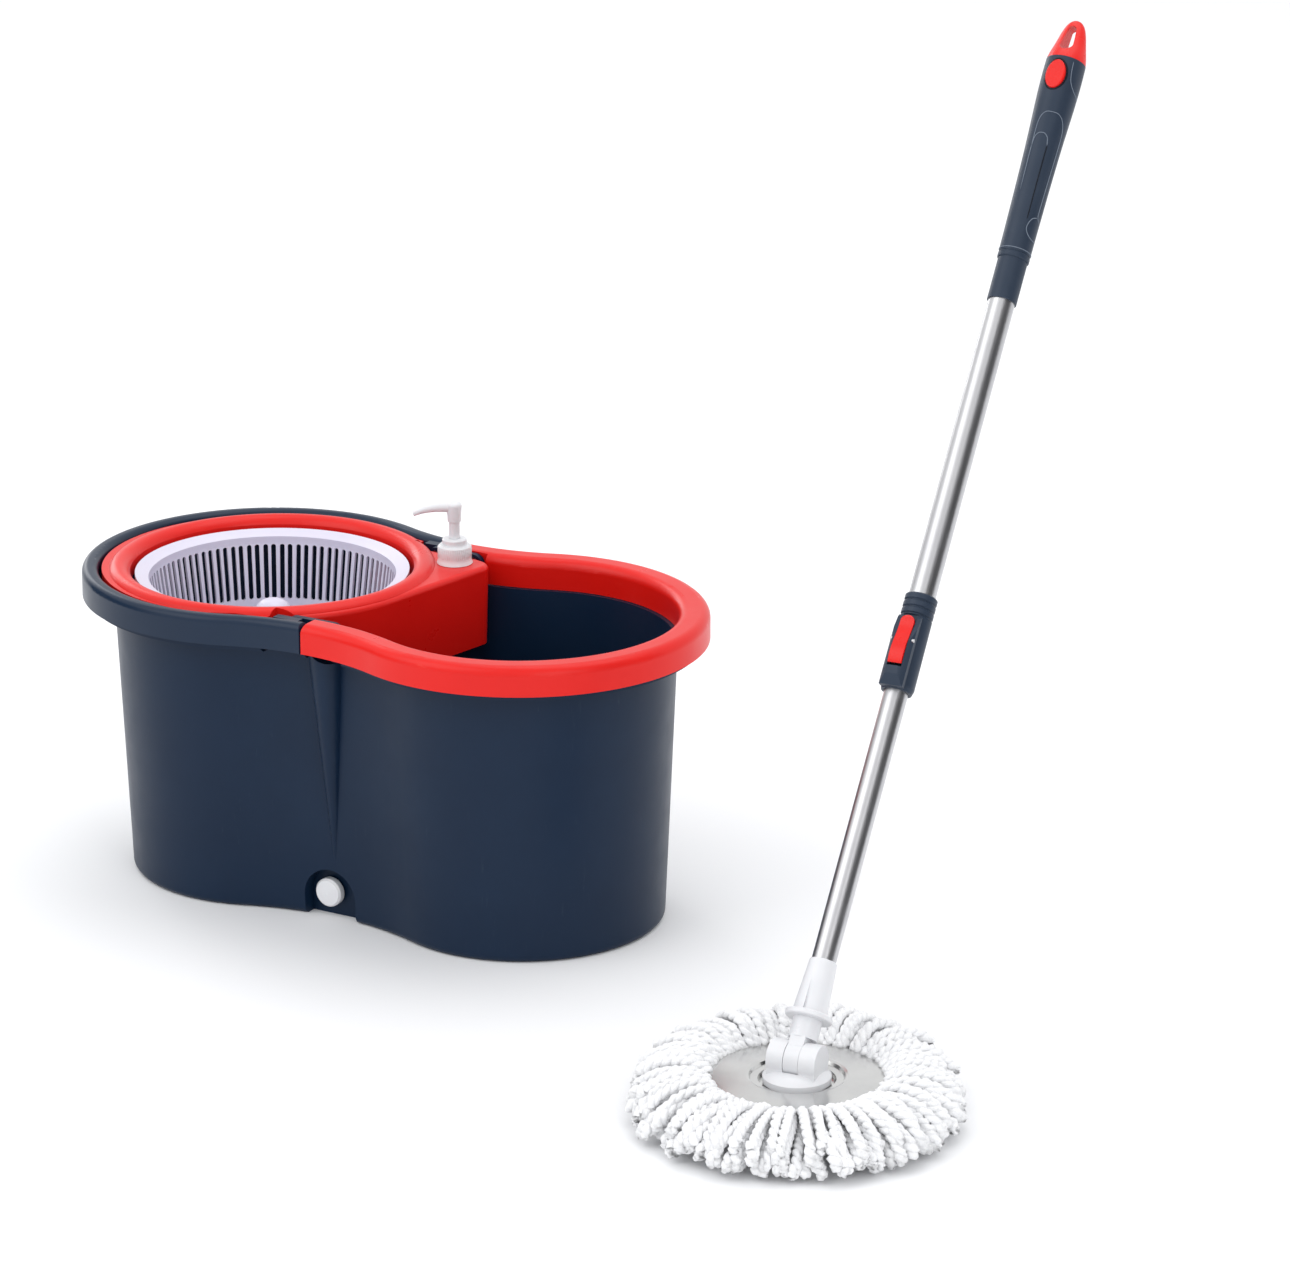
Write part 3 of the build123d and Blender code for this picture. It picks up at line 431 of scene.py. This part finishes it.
finishOf = {
    "bucketNavy": ["bucket_shell", "basket_post", "drain_bush"],
    "handleNavy": ["basket_side_handle"],
    "guardRed": ["splash_guard", "wash_side_handle"],
    "basketLilac": ["spin_basket", "hub_dome"],
    "jointWhite": [
        "pump_closure", "pump_stem", "pump_head", "pump_cylinder", "dip_tube", "drain_plug",
        "clip_base", "swivel_base", "tilt_knuckle", "pole_socket", "thrust_washer",
        "basket_bearing", "guide_bush", "lock_bush", "swivel_washer", "clutch_housing",
        "drive_nut", "rod_anchor",
    ],
    "milkyTank": ["detergent_reservoir"],
    "gripNavy": ["lock_housing", "grip_sleeve", "grip_collar", "grip"],
    "trimRed": ["lock_lever", "grip_button", "hang_loop"],
    "tubeSteel": ["lower_tube", "upper_tube"],
    "plateSteel": ["head_plate"],
    "pinSteel": [
        "handle_pins", "basket_axle", "tilt_pin", "lever_pin", "swivel_screw",
        "twist_rod", "pump_valve_ball", "pump_spring",
    ],
    "sealRubber": ["drain_seal", "lock_pad"],
}
for finish, pieces in finishOf.items():
    for piece in pieces:
        nodes[piece].data.materials.clear()
        nodes[piece].data.materials.append(finishes[finish])
print("finishes made:", len(finishes))


# a new piece that rides on a body and takes a colour slot
def newMesh(name, verts, faces, finish, body):
    mesh = bpy.data.meshes.new(name)
    mesh.from_pydata([tuple(v) for v in verts], [], [tuple(f) for f in faces])
    mesh.update()
    for polygon in mesh.polygons:
        polygon.use_smooth = True
    piece = bpy.data.objects.new(name, mesh)
    scene.collection.objects.link(piece)
    mesh.materials.append(finishes[finish])
    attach(piece, body)
    return piece


# mop yarn: twisted chenille loops in layers
yarn = {
    "seed": 7,
    "cordRadius": 0.0027,
    "plyReach": 0.0016,
    "plyPitch": 0.015,
    "knobPitch": 0.0046,
    "knobDepth": 0.13,
    "rings": 46,
    "clubAt": 0.0065,  # the rounded end, measured back from the tip
    "clubLength": 0.0055,
    "clubSpread": 0.45,
    "clubSwell": 0.34,
    "closeOver": 0.0036,
    "floorGap": 0.0006,
    "frontExtra": 0.012,  # the strands towards the viewer lie out further
    "backExtra": 0.009,  # those behind lie out further too, and arch up higher
    "backRise": 0.009,
    "frontTurn": math.radians(-60),
    "sides": 8,
    # per layer: loops, inner radius and height, crest, tip radius and height
    "layers": [
        (62, 0.0695, 0.0330, 0.0400, 0.1190, 0.0170),
        (60, 0.0665, 0.0265, 0.0335, 0.1235, 0.0110),
        (54, 0.0640, 0.0190, 0.0255, 0.1235, 0.0070),
        (46, 0.0620, 0.0110, 0.0155, 0.1170, 0.0050),
    ],
}


# centre line of one strand as rows of x, y, z about the head's axis
def loopPath(layer, share, rng):
    loops, startR, startZ, crestZ, tipR, tipZ = layer
    angle = 2 * math.pi * share + rng.uniform(-0.3, 0.3) / loops * 2 * math.pi
    swing = rng.uniform(-0.055, 0.055)
    curl = rng.uniform(-0.02, 0.02)
    facing = math.cos(angle - yarn["frontTurn"])
    inFront, behind = max(0, facing), max(0, -facing)
    tipR += rng.uniform(-0.005, 0.0040) + yarn["frontExtra"] * inFront + yarn["backExtra"] * behind
    crestZ += yarn["backRise"] * behind
    tipZ += yarn["backRise"] * behind
    tipZ = max(0.0042, tipZ + rng.uniform(-0.004, 0.005))
    crestZ += rng.uniform(-0.0018, 0.0018)
    crestR = startR + (tipR - startR) * rng.uniform(0.28, 0.42)
    startR += rng.uniform(-0.0025, 0.0008)
    s = np.linspace(0, 1, yarn["rings"])
    # one smooth hump: start, crest, shoulder, tip
    knots = np.array([0, 0.3, 0.66, 0.88, 1.0])
    rKnots = np.array([startR, crestR, startR + (tipR - startR) * 0.78, tipR, tipR + 0.0004])
    zKnots = np.array([startZ, crestZ, crestZ * 0.80 + tipZ * 0.20, tipZ + (crestZ - tipZ) * 0.33, tipZ])
    radius = smoothThrough(knots, rKnots, s)
    height = smoothThrough(knots, zKnots, s)
    around = angle + swing * s**1.5 + curl * np.sin(math.pi * s * 1.3)
    path = np.stack([radius * np.cos(around), radius * np.sin(around), height], axis=1)
    return path


# a monotone cubic through the knots
def smoothThrough(knots, values, s):
    step = np.diff(values) / np.diff(knots)
    slope = np.concatenate([[step[0]], (step[1:] + step[:-1]) / 2, [step[-1]]])
    for k in range(1, len(values) - 1):
        if step[k - 1] * step[k] <= 0:
            slope[k] = 0
    index = np.clip(np.searchsorted(knots, s, side="right") - 1, 0, len(knots) - 2)
    width = knots[index + 1] - knots[index]
    t = (s - knots[index]) / width
    return (
        values[index] * (1 + 2 * t) * (1 - t) ** 2
        + values[index + 1] * t**2 * (3 - 2 * t)
        + slope[index] * width * t * (1 - t) ** 2
        - slope[index + 1] * width * t**2 * (1 - t)
    )


# ring-by-ring tube round a path, closed with a flat face at each end
def cordMesh(path, radii, rng):
    sides = yarn["sides"]
    tangent = np.gradient(path, axis=0)
    tangent /= np.linalg.norm(tangent, axis=1)[:, None]
    across = np.cross(tangent, [0, 0, 1.0])
    across /= np.linalg.norm(across, axis=1)[:, None] + 1e-9
    upward = np.cross(across, tangent)
    around = np.linspace(0, 2 * math.pi, sides, endpoint=False)
    lumps = 1 + 0.07 * rng.standard_normal((len(path), sides))
    rings = (
        path[:, None, :]
        + (radii[:, None] * lumps)[:, :, None]
        * (
            np.cos(around)[None, :, None] * across[:, None, :]
            + np.sin(around)[None, :, None] * upward[:, None, :]
        )
    )
    verts = rings.reshape(-1, 3)
    faces = []
    for row in range(len(path) - 1):
        a = row * sides
        for k in range(sides):
            n = (k + 1) % sides
            faces.append((a + k, a + n, a + sides + n, a + sides + k))
    faces.append(tuple(range(sides))[::-1])
    last = (len(path) - 1) * sides
    faces.append(tuple(last + k for k in range(sides)))
    return verts, faces


def buildYarn():
    rng = np.random.default_rng(yarn["seed"])
    verts, faces, count = [], [], 0
    for row, layer in enumerate(yarn["layers"]):
        for k in range(layer[0]):
            path = loopPath(layer, (k + 0.5 * (row % 2)) / layer[0], rng)
            gaps = np.linalg.norm(np.diff(path, axis=0), axis=1)
            along = np.concatenate([[0], np.cumsum(gaps)])
            length = along[-1]
            toTip = length - along
            tangent = np.gradient(path, axis=0)
            tangent /= np.linalg.norm(tangent, axis=1)[:, None]
            across = np.cross(tangent, [0, 0, 1.0])
            across /= np.linalg.norm(across, axis=1)[:, None]
            upward = np.cross(across, tangent)
            phase = rng.uniform(0, 2 * math.pi)
            pitch = yarn["plyPitch"] * rng.uniform(0.85, 1.2)
            fat = rng.uniform(0.92, 1.12)
            # the two plies swell into a rounded loop at the tip and close over the last few millimetres
            club = np.exp(-((toTip - yarn["clubAt"]) / yarn["clubLength"]) ** 2)
            closing = np.sqrt(np.clip(1 - (1 - np.clip(toTip / yarn["closeOver"], 0, 1)) ** 2, 0, 1))
            for ply in (0, math.pi):
                angle = phase + ply + 2 * math.pi * along / pitch
                reach = yarn["plyReach"] * fat * (1 + yarn["clubSpread"] * club) * np.clip(closing, 0.25, 1)
                knobs = 1 + yarn["knobDepth"] * np.sin(2 * math.pi * along / yarn["knobPitch"] + ply)
                swell = (1 + yarn["clubSwell"] * club) * np.clip(closing, 0.12, 1)
                radii = yarn["cordRadius"] * fat * knobs * swell
                centre = path + reach[:, None] * (
                    np.cos(angle)[:, None] * across + np.sin(angle)[:, None] * upward
                )
                low = centre[:, 2] - radii
                centre[:, 2] += np.clip(yarn["floorGap"] - low, 0, None)  # nothing sinks into the floor
                ringVerts, ringFaces = cordMesh(centre, radii, rng)
                verts.append(ringVerts)
                faces.extend([tuple(i + count for i in f) for f in ringFaces])
                count += len(ringVerts)
    verts = np.concatenate(verts)
    verts[:, 0] += mopPlace["foot"][0]
    verts[:, 1] += mopPlace["foot"][1]
    strands = newMesh("yarnStrands", verts, faces, "chenilleYarn", "mop_head")
    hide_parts("yarn_ring")
    print("yarn strands:", sum(layer[0] for layer in yarn["layers"]), "loops,", len(verts), "points")


buildYarn()

# fine ribs round the pump's screw collar
collarRibs = {
    "centre": (0.009, 0.084),
    "radius": 0.0142,
    "profile": [(-1, -0.0006), (-0.5, 0.0004), (0.5, 0.0004), (1, -0.0006)],  # across, out
    "low": 0.2735,
    "high": 0.2825,
    "count": 48,
    "halfAngle": 0.028,
}


def buildCollarRibs():
    verts, faces = [], []
    for rib in range(collarRibs["count"]):
        middle = 2 * math.pi * rib / collarRibs["count"]
        for height in (collarRibs["low"], collarRibs["high"]):
            for shift, out in collarRibs["profile"]:
                angle = middle + shift * collarRibs["halfAngle"]
                reach = collarRibs["radius"] + out
                x = collarRibs["centre"][0] + reach * math.cos(angle)
                y = collarRibs["centre"][1] + reach * math.sin(angle)
                verts.append((x, y, height))
        a = 8 * rib
        faces += [(a, a + 1, a + 5, a + 4), (a + 1, a + 2, a + 6, a + 5), (a + 2, a + 3, a + 7, a + 6)]
        faces += [(a + 3, a + 2, a + 1, a), (a + 4, a + 5, a + 6, a + 7), (a, a + 4, a + 7, a + 3)]
    newMesh("pumpCollarRibs", verts, faces, "jointWhite", "bucket")


buildCollarRibs()

# raised lines moulded into the grip: (radians round from the pole's front, millimetres up the pole)
gripLines = {
    "thick": 0.00042,
    "sides": 6,
    "perSpan": 14,
    # route of the painted shade along the grip's groove
    "grooveShadeRoute": [(0.56, 781), (0.55, 768), (0.55, 751), (0.56, 716)],
    "profile": [(688, 12.8), (690, 13.2), (728, 13.6), (793, 15.0), (842, 16.6), (860, 16.4)],
    "routes": {
        "gripArchOuter": [
            (-0.34, 740), (-0.33, 775), (-0.27, 802), (0.2, 810), (0.8, 809),
            (1.2, 800), (1.3, 785), (1.26, 750), (1.24, 724), (1.5, 717),
        ],
        "gripArchInner": [(-0.36, 765), (-0.3, 784), (-0.12, 790), (0.16, 791), (0.44, 788), (0.55, 781)],
        "gripHook": [(1.2, 720), (0.85, 717), (0.66, 709), (1.0, 702), (1.7, 700)],
        "gripShoulder": [(0.74, 857), (0.78, 846), (0.92, 838), (1.3, 832), (1.9, 829)],
        "gripRing": [(-2.6, 690), (-1.2, 690), (0, 690), (1.2, 690), (2.6, 690)],
    },
}


def gripPoint(angle, along):
    heights = [h for h, r in gripLines["profile"]]
    radii = [r for h, r in gripLines["profile"]]
    reach = np.interp(along, heights, radii)
    return np.array(onPole(reach * math.sin(angle), reach * math.cos(angle), along))


def buildGripLine(name, route, finish):
    steps = np.linspace(0, 1, len(route))
    fine = np.linspace(0, 1, gripLines["perSpan"] * len(route))
    angles = smoothThrough(steps, np.array([p[0] for p in route], float), fine)
    heights = smoothThrough(steps, np.array([p[1] for p in route], float), fine)
    path = np.array([gripPoint(a, h) for a, h in zip(angles, heights)])
    tangent = np.gradient(path, axis=0)
    tangent /= np.linalg.norm(tangent, axis=1)[:, None]
    middle = np.array([onPole(0, 0, h) for h in heights])
    outward = path - middle
    outward /= np.linalg.norm(outward, axis=1)[:, None]
    across = np.cross(tangent, outward)
    sides = gripLines["sides"]
    around = np.linspace(0, 2 * math.pi, sides, endpoint=False)
    fade = np.sqrt(np.clip(np.minimum(fine, 1 - fine) / 0.04, 0.1, 1))  # the ends run out
    rings = path[:, None, :] + gripLines["thick"] * fade[:, None, None] * (
        np.cos(around)[None, :, None] * across[:, None, :]
        + np.sin(around)[None, :, None] * outward[:, None, :]
    )
    verts = rings.reshape(-1, 3)
    faces = []
    for row in range(len(path) - 1):
        for k in range(sides):
            a = row * sides + k
            b = row * sides + (k + 1) % sides
            faces.append((a, b, b + sides, a + sides))
    faces.append(tuple(range(sides))[::-1])
    faces.append(tuple((len(path) - 1) * sides + k for k in range(sides)))
    newMesh(name, verts, faces, finish, "upper_pole")


for lineName, route in gripLines["routes"].items():
    buildGripLine(lineName, route, "lineGrey")
# painted shade: a near-black line along the grip's groove stands in for the shade inside it
buildGripLine("gripGrooveShade", gripLines["grooveShadeRoute"], "paintedGapShade")

# painted shade: a dark raised ring round the button's pocket stands in for the shade in the gap round the
# button
buttonGapShade = {
    "middle": 843,
    "halfWide": 8.5,
    "halfTall": 13.2,
    "band": 1.3,
    "proud": 0.45,
    "profile": [(0, -0.5), (0.15, 1), (0.85, 1), (1, -0.6)],  # shares of the band and of proud
    "steps": 72,
}


def buildButtonGapShade():
    verts, faces = [], []
    steps = buttonGapShade["steps"]
    for step in range(steps):
        turned = 2 * math.pi * step / steps
        for grow, lift in buttonGapShade["profile"]:
            wider = grow * buttonGapShade["band"]
            side = (buttonGapShade["halfWide"] + wider) * math.cos(turned)
            along = buttonGapShade["middle"] + (buttonGapShade["halfTall"] + wider) * math.sin(turned)
            reach = np.interp(along, *zip(*gripLines["profile"])) + lift * buttonGapShade["proud"]
            verts.append(onPole(side, math.sqrt(reach**2 - side**2), along))
    for step in range(steps):
        a = 4 * step
        b = 4 * ((step + 1) % steps)
        for k in range(4):
            n = (k + 1) % 4
            faces.append((a + k, b + k, b + n, a + n))
    newMesh("buttonGapShade", verts, faces, "paintedGapShade", "upper_pole")


buildButtonGapShade()
print("small pieces made")

# stage: floor, soft light and camera
stageLook = {
    "floorColour": (0.93, 0.935, 0.945),
    "worldColour": (0.985, 0.99, 1.0),
    "worldStrength": 0.98,
    "floorReach": 60.0,
    # per lamp: place, what it points at, size, power
    "lamps": {
        "key": ((-1.6, -2.6, 3.2), (0.1, -0.1, 0.2), (3.2, 3.2), 40),
        "fill": ((3.4, -2.2, 1.9), (0.3, -0.1, 0.3), (1.6, 2.4), 16),
        "top": ((0.3, 0.9, 3.6), (0.2, 0, 0), (3.0, 2.0), 24),
        "edge": ((-2.6, 1.6, 1.4), (-0.1, 0, 0.2), (0.9, 2.0), 12),
    },
    "cards": {
        "darkRight": [(2.6, -1.4, 0), (3.2, 1.8, 0), (3.2, 1.8, 3.2), (2.6, -1.4, 3.2)],
        "darkLeft": [(-2.2, -2.4, 0), (-2.6, 0.6, 0), (-2.6, 0.6, 1.1), (-2.2, -2.4, 1.1)],
    },
}


def buildFloor():
    material, tree, shader = newMaterial("paleFloor")
    vector = placeCoords(tree)
    paper = noiseAt(tree, vector, 0.004, 3)
    colour = mixColours(tree, spread(tree, paper, 0, 1), stageLook["floorColour"], (0.925, 0.93, 0.945))
    tree.links.new(colour, shader.inputs["Base Color"])
    shader.inputs["Roughness"].default_value = 0.75
    shader.inputs["Specular IOR Level"].default_value = 0.2
    mesh = bpy.data.meshes.new("floor")
    reach = stageLook["floorReach"]
    corners = [(-reach, -reach, 0), (reach, -reach, 0), (reach, reach, 0), (-reach, reach, 0)]
    mesh.from_pydata(corners, [], [(0, 1, 2, 3)])
    floor = bpy.data.objects.new("floor", mesh)
    mesh.materials.append(material)
    scene.collection.objects.link(floor)


def softLight(name, place, target, size, power):
    data = bpy.data.lights.new(name, "AREA")
    data.shape = "RECTANGLE"
    data.size, data.size_y = size
    data.energy = power
    lamp = bpy.data.objects.new(name, data)
    lamp.location = place
    lamp.rotation_euler = (Vector(target) - Vector(place)).to_track_quat("-Z", "Y").to_euler()
    scene.collection.objects.link(lamp)


# a grey panel seen only in reflections, so that polished metal has something to mirror
def darkCard(name, corners):
    material, tree, shader = newMaterial(name)
    shader.inputs["Base Color"].default_value = (0.03, 0.03, 0.033, 1)
    shader.inputs["Roughness"].default_value = 1
    shader.inputs["Specular IOR Level"].default_value = 0
    mesh = bpy.data.meshes.new(name)
    mesh.from_pydata(corners, [], [(0, 1, 2, 3)])
    mesh.materials.append(material)
    card = bpy.data.objects.new(name, mesh)
    card.visible_camera = False
    card.visible_diffuse = False
    card.visible_shadow = False
    scene.collection.objects.link(card)


buildFloor()
world = bpy.data.worlds.new("studio")
scene.world = world
world.use_nodes = True
world.node_tree.nodes["Background"].inputs["Color"].default_value = (*stageLook["worldColour"], 1)
world.node_tree.nodes["Background"].inputs["Strength"].default_value = stageLook["worldStrength"]

for lampName, settings in stageLook["lamps"].items():
    softLight(lampName, *settings)
for cardName, corners in stageLook["cards"].items():
    darkCard(cardName, corners)

cameraView = {
    "lens": 167.44,
    "sensor": 36.0,
    "azimuth": 30.42,
    "elevation": 18.5,
    "distance": 5.7808,
    "target": (-0.1569, 0.6873, 0.0),
}


def placeCamera():
    data = bpy.data.cameras.new("viewpoint")
    data.lens = cameraView["lens"]
    data.sensor_width = cameraView["sensor"]
    data.sensor_fit = "HORIZONTAL"
    data.clip_end = 200
    camera = bpy.data.objects.new("viewpoint", data)
    around = math.radians(cameraView["azimuth"])
    up = math.radians(cameraView["elevation"])
    away = Vector((math.sin(around) * math.cos(up), -math.cos(around) * math.cos(up), math.sin(up)))
    target = Vector(cameraView["target"])
    camera.location = target + away * cameraView["distance"]
    camera.rotation_euler = (-away).to_track_quat("-Z", "Y").to_euler()
    scene.collection.objects.link(camera)
    scene.camera = camera


placeCamera()
scene.view_settings.view_transform = "Standard"
print("stage ready")
